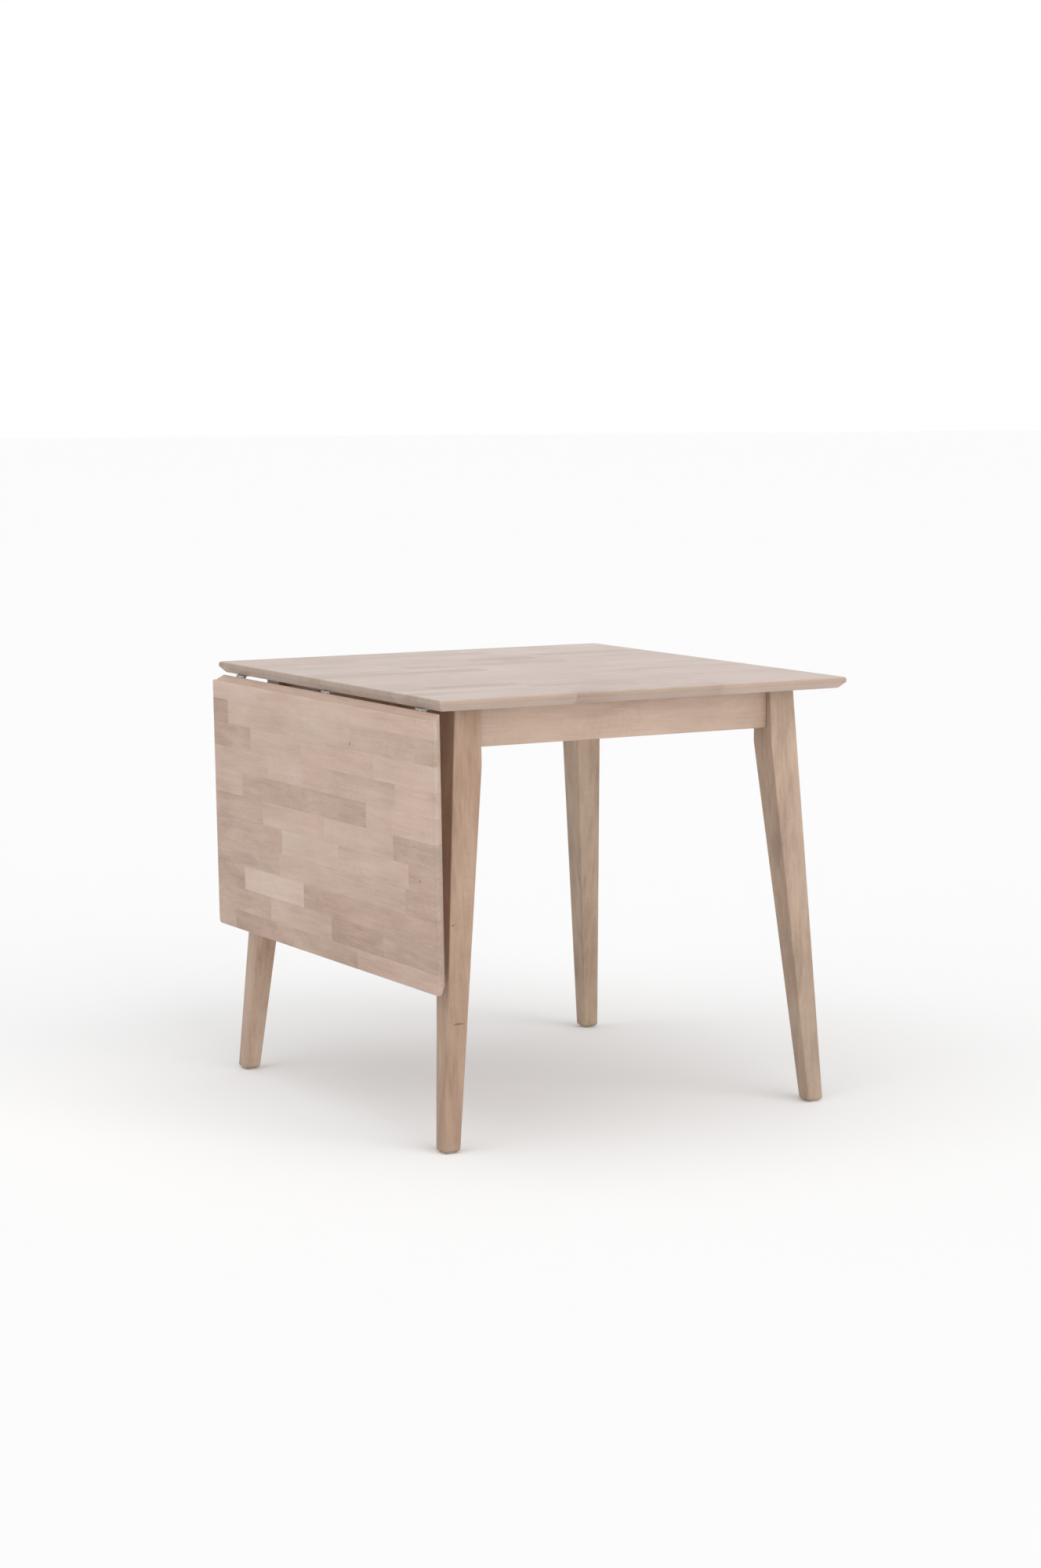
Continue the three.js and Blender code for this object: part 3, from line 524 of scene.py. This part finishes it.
def turned(profile, sides=24, radius=None):
    """Rings about +Z from (radius, height) pairs. radius(r, z, angle) may change the radius round the
    ring, as for a hexagon or a thread."""
    r, z = np.asarray(profile, float).T[:, :, None]
    angle = np.linspace(0, 2 * np.pi, sides, endpoint=False)[None]
    r = r + 0 * angle if radius is None else radius(r, z, angle)
    return np.stack([r * np.cos(angle), r * np.sin(angle), z + 0 * angle], -1)


def aimed(points, origin, way):
    """Swings a body made along +Z to run along way, and moves its foot to origin."""
    way = np.asarray(way, float) / np.linalg.norm(way)
    side = np.cross((0, 0, 1) if abs(way[2]) < 0.9 else (0, 1, 0), way)
    side /= np.linalg.norm(side)
    return points @ np.stack([side, np.cross(way, side), way]) + origin


def hexagon(flat):
    """Radius of a hexagon whose flats stand flat from the middle, no further out than the profile."""
    return lambda r, z, angle: np.minimum(flat / np.cos((angle % (np.pi / 3)) - np.pi / 6), r)


def thread(pitch, depth):
    """Radius less a V groove that climbs one pitch a turn, left off where the bar is thin."""
    def cut(r, z, angle):
        groove = np.abs(((z / pitch - angle / (2 * np.pi)) % 1) * 2 - 1)
        return r - depth * groove * (r > 3 * depth)
    return cut


def plated_steel(name, colour, rough, brushed=(1, 1, 1)):
    """Zinc-plated steel: a dull white metal with cloudy patches, fine drawn lines and small scuffs."""
    material = bpy.data.materials.new(name)
    material.use_nodes = True
    tree = material.node_tree
    shader = tree.nodes["Principled BSDF"]
    place = node(tree, "TexCoord").outputs["Object"]
    patch = noise(tree, place, 240, 3, 0.6)
    lines = noise(tree, stretched(tree, place, tuple(900 * part for part in brushed)), 1.0, 2, 0.6)
    scuff = ramp(tree, noise(tree, place, 900, 2, 0.7, 1.5), [(0.58, 0.0), (0.72, 1.0)])
    shade = maths(tree, "MULTIPLY_ADD", patch, 0.5, maths(tree, "MULTIPLY", lines, 0.4))
    dull, bright = (tuple(part * gain for part in colour) for gain in (0.72, 1.12))
    tone = ramp(tree, shade, [(0.25, dull), (0.65, bright)])
    tone = blend_colour(tree, "MULTIPLY", maths(tree, "MULTIPLY", scuff, 0.35), tone, (0.55, 0.54, 0.52, 1))
    gloss = maths(tree, "MULTIPLY_ADD", patch, 0.22, maths(tree, "MULTIPLY_ADD", scuff, 0.15, rough - 0.1))
    bump = node(tree, "Bump", {"Strength": 0.15, "Distance": 0.05 * mm, "Height": lines})
    shader.inputs["Metallic"].default_value = 1.0
    tree.links.new(tone, shader.inputs["Base Color"])
    tree.links.new(gloss, shader.inputs["Roughness"])
    tree.links.new(bump.outputs[0], shader.inputs["Normal"])
    return material


bolt_low, bolt_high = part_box("leg_bolt_back_right")
bolt_z = (bolt_low.z + bolt_high.z) / 2
bolt_steel = plated_steel("bolt_steel", (0.50, 0.51, 0.53), 0.38)
bolt_start, bolt_end, nut_seat = 256 * mm, 312 * mm, 265.7 * mm
bolt_profile = [(0.6 * mm, 0), (3.0 * mm, 0), (3.6 * mm, 0.7 * mm)]
bolt_length = (bolt_end - bolt_start) * np.sqrt(2)
bolt_profile += [(3.6 * mm, z) for z in np.arange(1.0, bolt_length / mm - 3, 0.3125) * mm]
bolt_profile += [(2.6 * mm, bolt_length - 1.5 * mm), (0.4 * mm, bolt_length)]
nut_tall, nut_hole, flange_foot = 5.5 * mm, 4 * mm, 4.605 * mm
nut_profile = [(3.7, 0), (5.8, 0), (7.0, 0.7), (7.6, 1.4), (7.6, 4.6), (7.6, 4.61), (8.0, 4.9),
               (8.0, 5.5), (3.7, 5.5)]
nut_hexagon = hexagon(6.5 * mm)


def nut_side(r, z, angle):
    """The nut's radius: hexagonal below its flange, round at the flange and in the hole."""
    return np.where((z < flange_foot) & (r > nut_hole), nut_hexagon(r, z, angle), r + 0 * angle)


for along_x, along_y, corner in corners:
    way = (along_x, along_y, 0)
    start = (shift + along_x * bolt_start, along_y * bolt_start, bolt_z)
    rings = aimed(turned(bolt_profile, 20, thread(1.25 * mm, 0.42 * mm)), start, way)
    bolt = skin(f"{corner}_hanger_bolt", rings)
    fit_up(bolt, "frame", "bolt_steel", bolt_steel, f"leg_bolt_{corner}")
    seat = nut_seat - nut_tall / np.sqrt(2)
    start = (shift + along_x * seat, along_y * seat, bolt_z)
    nut = skin(f"{corner}_nut", aimed(turned(np.array(nut_profile) * mm, 48, nut_side), start, way))
    fit_up(nut, "frame", "bolt_steel", bolt_steel, f"bolt_nut_{corner}")


# ---- Screws -------------------------------------------------------------------------------------
# Countersunk wood screws with a cross recess hold the top to its blocks, the hinge plates to the
# boards, and the stays to the apron and the leaf.

def screw_rings(radius, head, length):
    """Rings of a raised countersunk screw from the crown of its head. The recess is a cross whose depth
    falls outwards along its four arms; a cone runs down to the neck; the thread climbs to a point."""
    out = np.array([0.03, 0.14, 0.28, 0.42, 0.56, 0.70, 0.86, 0.97, 1.0])
    angle = np.linspace(0, 2 * np.pi, 32, endpoint=False)[None]
    r = (out * head)[:, None]
    arm = 0.62 * head
    reach = np.clip(1 - r / arm, 0, 1)
    lobes = np.abs(np.cos(2 * angle)) ** 5
    recess = 0.20 * head * np.minimum(1, 1.6 * reach) * (reach + (1 - reach) * lobes)
    dome = -0.24 * head * (1 - (r / head) ** 2)
    face = np.stack([r * np.cos(angle), r * np.sin(angle), dome + recess], -1)
    neck = head - radius
    run = np.arange(neck + 0.6 * mm, length - 2.2 * radius, 0.3 * mm)
    profile = [(head, 0.15 * mm), (radius, neck)] + [(radius, z) for z in run]
    profile += [(radius * 0.7, length - 1.4 * radius), (0.08 * radius, length)]
    return np.concatenate([face, turned(profile, 32, thread(1.2 * mm, 0.22 * radius))])


zinc = plated_steel("zinc_plate", (0.55, 0.53, 0.505), 0.48)
for _, _, corner in corners:
    low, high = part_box(f"top_screw_{corner}")
    place = ((low.x + high.x) / 2, (low.y + high.y) / 2, low.z)
    rings = aimed(screw_rings(2.3 * mm, 4.6 * mm, high.z - low.z), place, (0, 0, 1))
    fit_up(skin(f"{corner}_top_screw", rings), "frame", "bolt_steel", zinc, f"top_screw_{corner}")

PLATE_SCREWS = ((12 * mm, -8 * mm), (26 * mm, 8 * mm))
hinge_places = (("front", -325 * mm), ("middle", 0.0), ("back", 325 * mm))
underside = top_low.z
head_level = underside - 1.7 * mm
for end, y in hinge_places:
    for number, (out, across) in enumerate(PLATE_SCREWS):
        rings = screw_rings(1.5 * mm, 3.0 * mm, 12.5 * mm)
        in_top = aimed(rings, (pin_x + out, y + across, head_level), (0, 0, 1))
        in_leaf = hang(aimed(rings, (pin_x - out, y + across, head_level), (0, 0, 1)))
        screw = skin(f"{end}_top_plate_screw_{number + 1}", in_top)
        fit_up(screw, "frame", "zinc_steel", zinc, f"hinge_screw_top_{end}_{number + 1}")
        screw = skin(f"{end}_leaf_plate_screw_{number + 1}", in_leaf)
        fit_up(screw, "leaf", "zinc_steel", zinc, f"hinge_screw_leaf_{end}_{number + 1}")


# ---- Hinges -------------------------------------------------------------------------------------
# Three zinc-plated steel butt hinges join the leaf to the top. Each plate is rolled round the pin:
# the top's plate makes the two outer knuckles, and the leaf's plate the middle one.

PLATE, KNUCKLE, BORE = 1.4 * mm, 2.5 * mm, 1.25 * mm
HINGE_HALF, FLAP, ROOT, TAIL = 15 * mm, 34 * mm, 2.85 * mm, 3.4 * mm
SPLIT, KNUCKLE_GAP = 5 * mm, 0.15 * mm


def extruded(outline, start, stop, ease=0.12 * mm):
    """Rings along +Y of an (x, z) outline, drawn in a little about its middle at each end."""
    outline = np.asarray(outline, float)
    middle = outline.mean(0)
    size = np.abs(outline - middle).max()
    y = np.array([start, start + ease, stop - ease, stop])
    draw_in = np.array([1 - ease / size, 1, 1, 1 - ease / size])[:, None, None]
    section = middle + (outline - middle) * draw_in
    return np.stack([section[..., 0], y[:, None] + 0 * section[..., 0], section[..., 1]], -1)


def knuckle(start, stop):
    """The end of the plate rolled round the pin: an outer arc from the top of the barrel most of the
    way round, and an inner arc back."""
    turn = np.radians(np.linspace(90, 395, 30))
    outer = KNUCKLE * np.stack([np.cos(turn), np.sin(turn)], -1)
    inner = BORE * np.stack([np.cos(turn), np.sin(turn)], -1)[::-1]
    tail = np.array([(TAIL, KNUCKLE - PLATE), (TAIL, KNUCKLE)])
    return extruded(np.concatenate([outer, inner, tail]), start, stop)


def plate_body():
    """The flat of the plate, with rounded corners and eased edges."""
    ease = 0.2 * mm
    z = KNUCKLE - PLATE + np.array([0, ease, PLATE - ease, PLATE])
    trim = np.array([ease, 0, 0, ease])
    x = np.stack([ROOT + trim, FLAP - trim], 1)
    y = np.stack([trim - HINGE_HALF, HINGE_HALF - trim], 1)
    return rectangle_rings(x, y, z, [2.2 * mm, 0.4 * mm, 0.4 * mm, 2.2 * mm])


pin_profile = [(0.3, 0), (0.8, 0.1), (1.0, 0.4), (1.0, 29.6), (0.8, 29.9), (0.3, 30)]
for end, y in hinge_places:
    pin = np.array((pin_x, y, pin_z))
    shells = [plate_body(), knuckle(-HINGE_HALF, -SPLIT - KNUCKLE_GAP),
              knuckle(SPLIT + KNUCKLE_GAP, HINGE_HALF)]
    plate = skin(f"{end}_top_plate", *(shell + pin for shell in shells))
    fit_up(plate, "frame", "zinc_steel", zinc, f"hinge_fixed_{end}")
    shells = [plate_body(), knuckle(-SPLIT + KNUCKLE_GAP, SPLIT - KNUCKLE_GAP)]
    plate = skin(f"{end}_leaf_plate", *(hang(shell * (-1, 1, 1) + pin) for shell in shells))
    fit_up(plate, "leaf", "zinc_steel", zinc, f"hinge_leaf_{end}")
    rod = aimed(turned(np.array(pin_profile) * mm, 20), pin - (0, HINGE_HALF, 0), (0, 1, 0))
    fit_up(skin(f"{end}_hinge_rod", rod), "frame", "zinc_steel", zinc, f"hinge_pin_{end}")


# ---- Folding stays ------------------------------------------------------------------------------
# Two flat steel struts hold the leaf up. Each turns on a headed pin in a bracket that is screwed to
# the side apron, and its free end is riveted to a slider in a lipped channel under the leaf.

STRUT_WIDE, STRUT_THICK, STAY_GAP, LUG = 15 * mm, 3 * mm, 0.3 * mm, 3 * mm


def flat_bar(outline, start, stop, ease=0.35 * mm):
    """Rings along +Y of a flat piece cut to an (x, z) outline, with rounded-over edges. Each edge point
    is drawn in along the outline's own normal."""
    outline = np.asarray(outline, float)
    along = np.roll(outline, -1, 0) - np.roll(outline, 1, 0)
    normal = np.stack([along[:, 1], -along[:, 0]], -1)
    normal /= np.linalg.norm(normal, axis=1, keepdims=True)
    turn = np.radians([0, 45, 90])
    trim = np.concatenate([ease * (1 - np.sin(turn)), ease * (1 - np.sin(turn))[::-1]])
    depth = ease * (1 - np.cos(turn))
    y = np.concatenate([start + depth, stop - depth[::-1]])
    section = outline[None] - normal[None] * trim[:, None, None]
    return np.stack([section[..., 0], y[:, None] + 0 * section[..., 0], section[..., 1]], -1)


def slot_outline(start, stop, radius, steps=12):
    """A bar with round ends, anticlockwise: half circles about its two end points."""
    start, stop = np.asarray(start, float), np.asarray(stop, float)
    heading = np.arctan2(*(stop - start)[::-1])
    turn = np.linspace(-np.pi / 2, np.pi / 2, steps)
    ends = [(stop, heading + turn), (start, heading + np.pi + turn)]
    return np.concatenate([end + radius * np.stack([np.cos(a), np.sin(a)], -1) for end, a in ends])


EAR_THICK, WIDE, TALL, WALL, SLOT, MARGIN = 2.5 * mm, 18 * mm, 9 * mm, 1.6 * mm, 7 * mm, 20 * mm
rest_reach, stay_drop, stay_reach = 227.51 * mm, 20 * mm, 125 * mm
rivet_profile = np.array([(4.5, 0.1), (4.5, 2.0), (4.2, 2.5), (3.4, 3.0), (2.2, 3.3), (0.6, 3.45)]) * mm
headed_pin = np.array([(2.9, 0.05), (3.0, 0.2), (3.0, 6.1), (5.0, 6.15), (5.0, 6.7), (4.3, 7.2),
                       (2.6, 7.55), (0.6, 7.7)]) * mm
roof = underside - STAY_GAP
stays = {joint["child"]: joint for joint in frame["joints"]}
for sign, end in ((-1, "front"), (1, "back")):
    pivot = np.array(stays[f"stay_strut_{end}"]["pos_m"])
    track_y = pivot[1] - sign * (STRUT_THICK / 2 + STAY_GAP + LUG / 2)
    eye_raised = np.array((pin_x - rest_reach, track_y, underside - stay_drop))
    eye = hang(eye_raised)

    # Strut, with a domed rivet head at its slider end.
    half = STRUT_THICK / 2
    outline = slot_outline(pivot[[0, 2]], eye[[0, 2]], STRUT_WIDE / 2)
    bar = flat_bar(outline, pivot[1] - half, pivot[1] + half)
    rivet = aimed(turned(rivet_profile), (eye[0], pivot[1], eye[2]), (0, sign, 0))
    strut = skin(f"{end}_strut", bar, rivet)
    fit_up(strut, f"stay_strut_{end}", "zinc_steel", zinc, f"stay_strut_{end}")

    # Bracket: a plate on the apron, an ear that stands out from it, and the headed pin.
    low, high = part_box(f"stay_bracket_{end}")
    plate_x = high.x
    ear_face = pivot[1] - sign * (half + STAY_GAP)
    ear_y = sorted((ear_face, ear_face - sign * EAR_THICK))
    edge_y = sorted((ear_face, low.y if sign > 0 else high.y))
    turn_over = np.array([0.3 * mm, 0, 0, 0.3 * mm])
    plate_z = np.stack([low.z + turn_over, high.z - turn_over], 1)
    plate_y = np.stack([edge_y[0] + turn_over, edge_y[1] - turn_over], 1)
    depth = plate_x - EAR_THICK + EAR_THICK * np.array([0, 0.15, 0.85, 1])
    plate_rings = rectangle_rings(plate_y, plate_z, depth, 3 * mm)[..., [2, 0, 1]]
    ear = flat_bar(slot_outline(pivot[[0, 2]], (plate_x - EAR_THICK, pivot[2]), 9 * mm), *ear_y)
    ear[..., 0] = np.minimum(ear[..., 0], plate_x - 0.2 * mm)
    pin_start = (pivot[0], ear_face - sign * EAR_THICK, pivot[2])
    pin = aimed(turned(headed_pin), pin_start, (0, sign, 0))
    bracket = skin(f"{end}_bracket", plate_rings, ear, pin)
    fit_up(bracket, "frame", "zinc_steel", zinc, f"stay_bracket_{end}")
    middle_y = sum(edge_y) / 2
    for number, (y, z) in enumerate(((-12, 14), (12, 14), (0, -14))):
        place = (plate_x - EAR_THICK - 0.1 * mm, middle_y + y * mm, (low.z + high.z) / 2 + z * mm)
        screw = aimed(screw_rings(1.9 * mm, 3.8 * mm, 16 * mm), place, (1, 0, 0))
        fit_up(skin(f"{end}_bracket_screw_{number + 1}", screw), "frame", "zinc_steel", zinc)

    # Channel under the leaf, screwed up through its roof near both ends.
    side = [(WIDE / 2, 0), (WIDE / 2, -TALL), (SLOT / 2, -TALL), (SLOT / 2, WALL - TALL),
            (WIDE / 2 - WALL, WALL - TALL), (WIDE / 2 - WALL, -WALL)]
    outline = filleted(side + [(-across, z) for across, z in side[::-1]], 0.45 * mm, 4, 0.05 * mm)
    rings = extruded(outline, pin_x - rest_reach - MARGIN, pin_x - stay_reach + MARGIN)
    rings = np.stack([rings[..., 1], track_y + rings[..., 0], roof + rings[..., 2]], -1)
    channel = skin(f"{end}_channel", hang(rings))
    fit_up(channel, "leaf", "zinc_steel", zinc, f"stay_track_{end}")
    for number, reach in enumerate((stay_reach - MARGIN + 4.5 * mm, rest_reach + MARGIN - 4.5 * mm)):
        place = (pin_x - reach, track_y, roof - WALL - 0.4 * mm)
        screw = aimed(screw_rings(1.6 * mm, 3.2 * mm, 13 * mm), place, (0, 0, 1))
        fit_up(skin(f"{end}_channel_screw_{number + 1}", hang(screw)), "leaf", "zinc_steel", zinc)

    # Slider: a shoe inside the channel, with a lug that hangs down through the slot to the rivet.
    x, shoe_top, sill = eye_raised[0], roof - WALL - STAY_GAP, roof - TALL + WALL + STAY_GAP
    ease = np.array([0.4, 0, 0, 0.4]) * mm
    shoe_half = WIDE / 2 - WALL - STAY_GAP
    shoe = rectangle_rings(np.stack([x - 11 * mm + ease, x + 11 * mm - ease], 1),
                           np.stack([track_y - shoe_half + ease, track_y + shoe_half - ease], 1),
                           sill + (shoe_top - sill) * np.array([0, 0.12, 0.88, 1]), 1.5 * mm)
    outline = slot_outline((x, eye_raised[2]), (x, sill + 1 * mm), 8 * mm)
    lug = flat_bar(outline, track_y - LUG / 2, track_y + LUG / 2)
    lug[..., 2] = np.minimum(lug[..., 2], sill + 1 * mm)
    slider = skin(f"{end}_slider", hang(shoe), hang(lug))
    fit_up(slider, f"stay_slider_{end}", "zinc_steel", zinc, f"stay_slider_{end}")


# ---- Glides -------------------------------------------------------------------------------------
# A pale nylon glide is pressed into the sole of each foot, a rounded disc on a short pin.

def nylon(name, colour):
    """Moulded nylon: slightly cloudy, scuffed duller where it meets the floor."""
    material = bpy.data.materials.new(name)
    material.use_nodes = True
    tree = material.node_tree
    shader = tree.nodes["Principled BSDF"]
    place = node(tree, "TexCoord").outputs["Object"]
    cloudy = noise(tree, place, 300, 3, 0.6)
    scuff = noise(tree, stretched(tree, place, (1200, 1200, 200)), 1.0, 2, 0.7)
    tone = ramp(tree, cloudy, [(0.3, tuple(part * 0.85 for part in colour)), (0.7, colour)])
    bump = node(tree, "Bump", {"Strength": 0.2, "Distance": 0.1 * mm, "Height": scuff})
    tree.links.new(tone, shader.inputs["Base Color"])
    tree.links.new(maths(tree, "MULTIPLY_ADD", scuff, 0.3, 0.4), shader.inputs["Roughness"])
    tree.links.new(bump.outputs[0], shader.inputs["Normal"])
    return material


glide_nylon = nylon("glide_nylon", (0.62, 0.52, 0.43))
glide_profile = [(3.0, 0), (8.6, 0), (9.4, 0.25), (9.9, 0.8), (10.0, 1.5), (9.8, 2.0), (2.2, 2.0),
                 (2.2, 8.0), (0.5, 10.0)]
for _, _, corner in corners:
    low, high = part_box(f"glide_{corner}")
    place = ((low.x + high.x) / 2, (low.y + high.y) / 2, low.z)
    glide = skin(f"{corner}_glide", turned(np.array(glide_profile) * mm, 32) + place)
    fit_up(glide, "frame", "glide", glide_nylon, f"glide_{corner}")


# ---- Camera, floor and light --------------------------------------------------------------------
# The table stands on a plain white studio floor in soft daylight from the front left.

yaw, pitch, roll = 0.5438, 0.1286, 0.0023
eye = np.array([top_low.x - 2.4014, top_low.y - 4.2193, 1.2357])
ahead = np.array([np.sin(yaw) * np.cos(pitch), np.cos(yaw) * np.cos(pitch), -np.sin(pitch)])
level_right = np.array([np.cos(yaw), -np.sin(yaw), 0.0])
up = np.cross(level_right, ahead)
right = level_right * np.cos(roll) + up * np.sin(roll)
up = np.cross(right, ahead)
placing = np.eye(4)
placing[:3, 0], placing[:3, 1], placing[:3, 2], placing[:3, 3] = right, up, -ahead, eye
lens = bpy.data.cameras.new("camera")
lens.lens, lens.sensor_width = 71.23, 36
lens.clip_start, lens.clip_end = 0.1, 200
camera = bpy.data.objects.new("camera", lens)
bpy.context.scene.collection.objects.link(camera)
camera.matrix_world = Matrix(placing.tolist())
bpy.context.scene.camera = camera

floor_mesh = bpy.data.meshes.new("studio_floor")
reach = 60.0
floor_corners = [(-reach, -reach, 0), (reach, -reach, 0), (reach, reach, 0), (-reach, reach, 0)]
floor_mesh.from_pydata(floor_corners, [], [(0, 1, 2, 3)])
floor = bpy.data.objects.new("studio_floor", floor_mesh)
bpy.context.scene.collection.objects.link(floor)
paint = bpy.data.materials.new("studio_white")
paint.use_nodes = True
matt = paint.node_tree.nodes["Principled BSDF"].inputs
matt["Base Color"].default_value = (0.9, 0.9, 0.9, 1)
matt["Roughness"].default_value = 0.9
floor_mesh.materials.append(paint)


def soft_sun(name, travel, energy, spread):
    """A broad even light that travels one way, as from a wide diffuser far off; spread in degrees."""
    lamp = bpy.data.lights.new(name, "SUN")
    lamp.energy, lamp.angle = energy, np.radians(spread)
    lamp_object = bpy.data.objects.new(name, lamp)
    bpy.context.scene.collection.objects.link(lamp_object)
    lamp_object.rotation_mode = "QUATERNION"
    lamp_object.rotation_quaternion = Vector(travel).to_track_quat("-Z", "Y")


soft_sun("light_front", (-0.2, 1.0, -0.7), 1.05, 55)
soft_sun("light_left", (1.0, 0.1, -0.6), 0.45, 60)
soft_sun("light_above", (0.1, 0.1, -1.0), 1.21, 80)
sky = bpy.data.worlds.new("studio")
sky.use_nodes = True
tree = sky.node_tree
way = node(tree, "SeparateXYZ", {0: node(tree, "TexCoord").outputs["Generated"]})
dome = ramp(tree, way.outputs["Z"], [(0.0, 1.0), (0.2, 1.0), (0.5, 0.38), (1.0, 0.35)])
tree.links.new(dome, tree.nodes["Background"].inputs[0])
tree.nodes["Background"].inputs[1].default_value = 1.0
bpy.context.scene.world = sky
bpy.context.scene.view_settings.view_transform = "Standard"
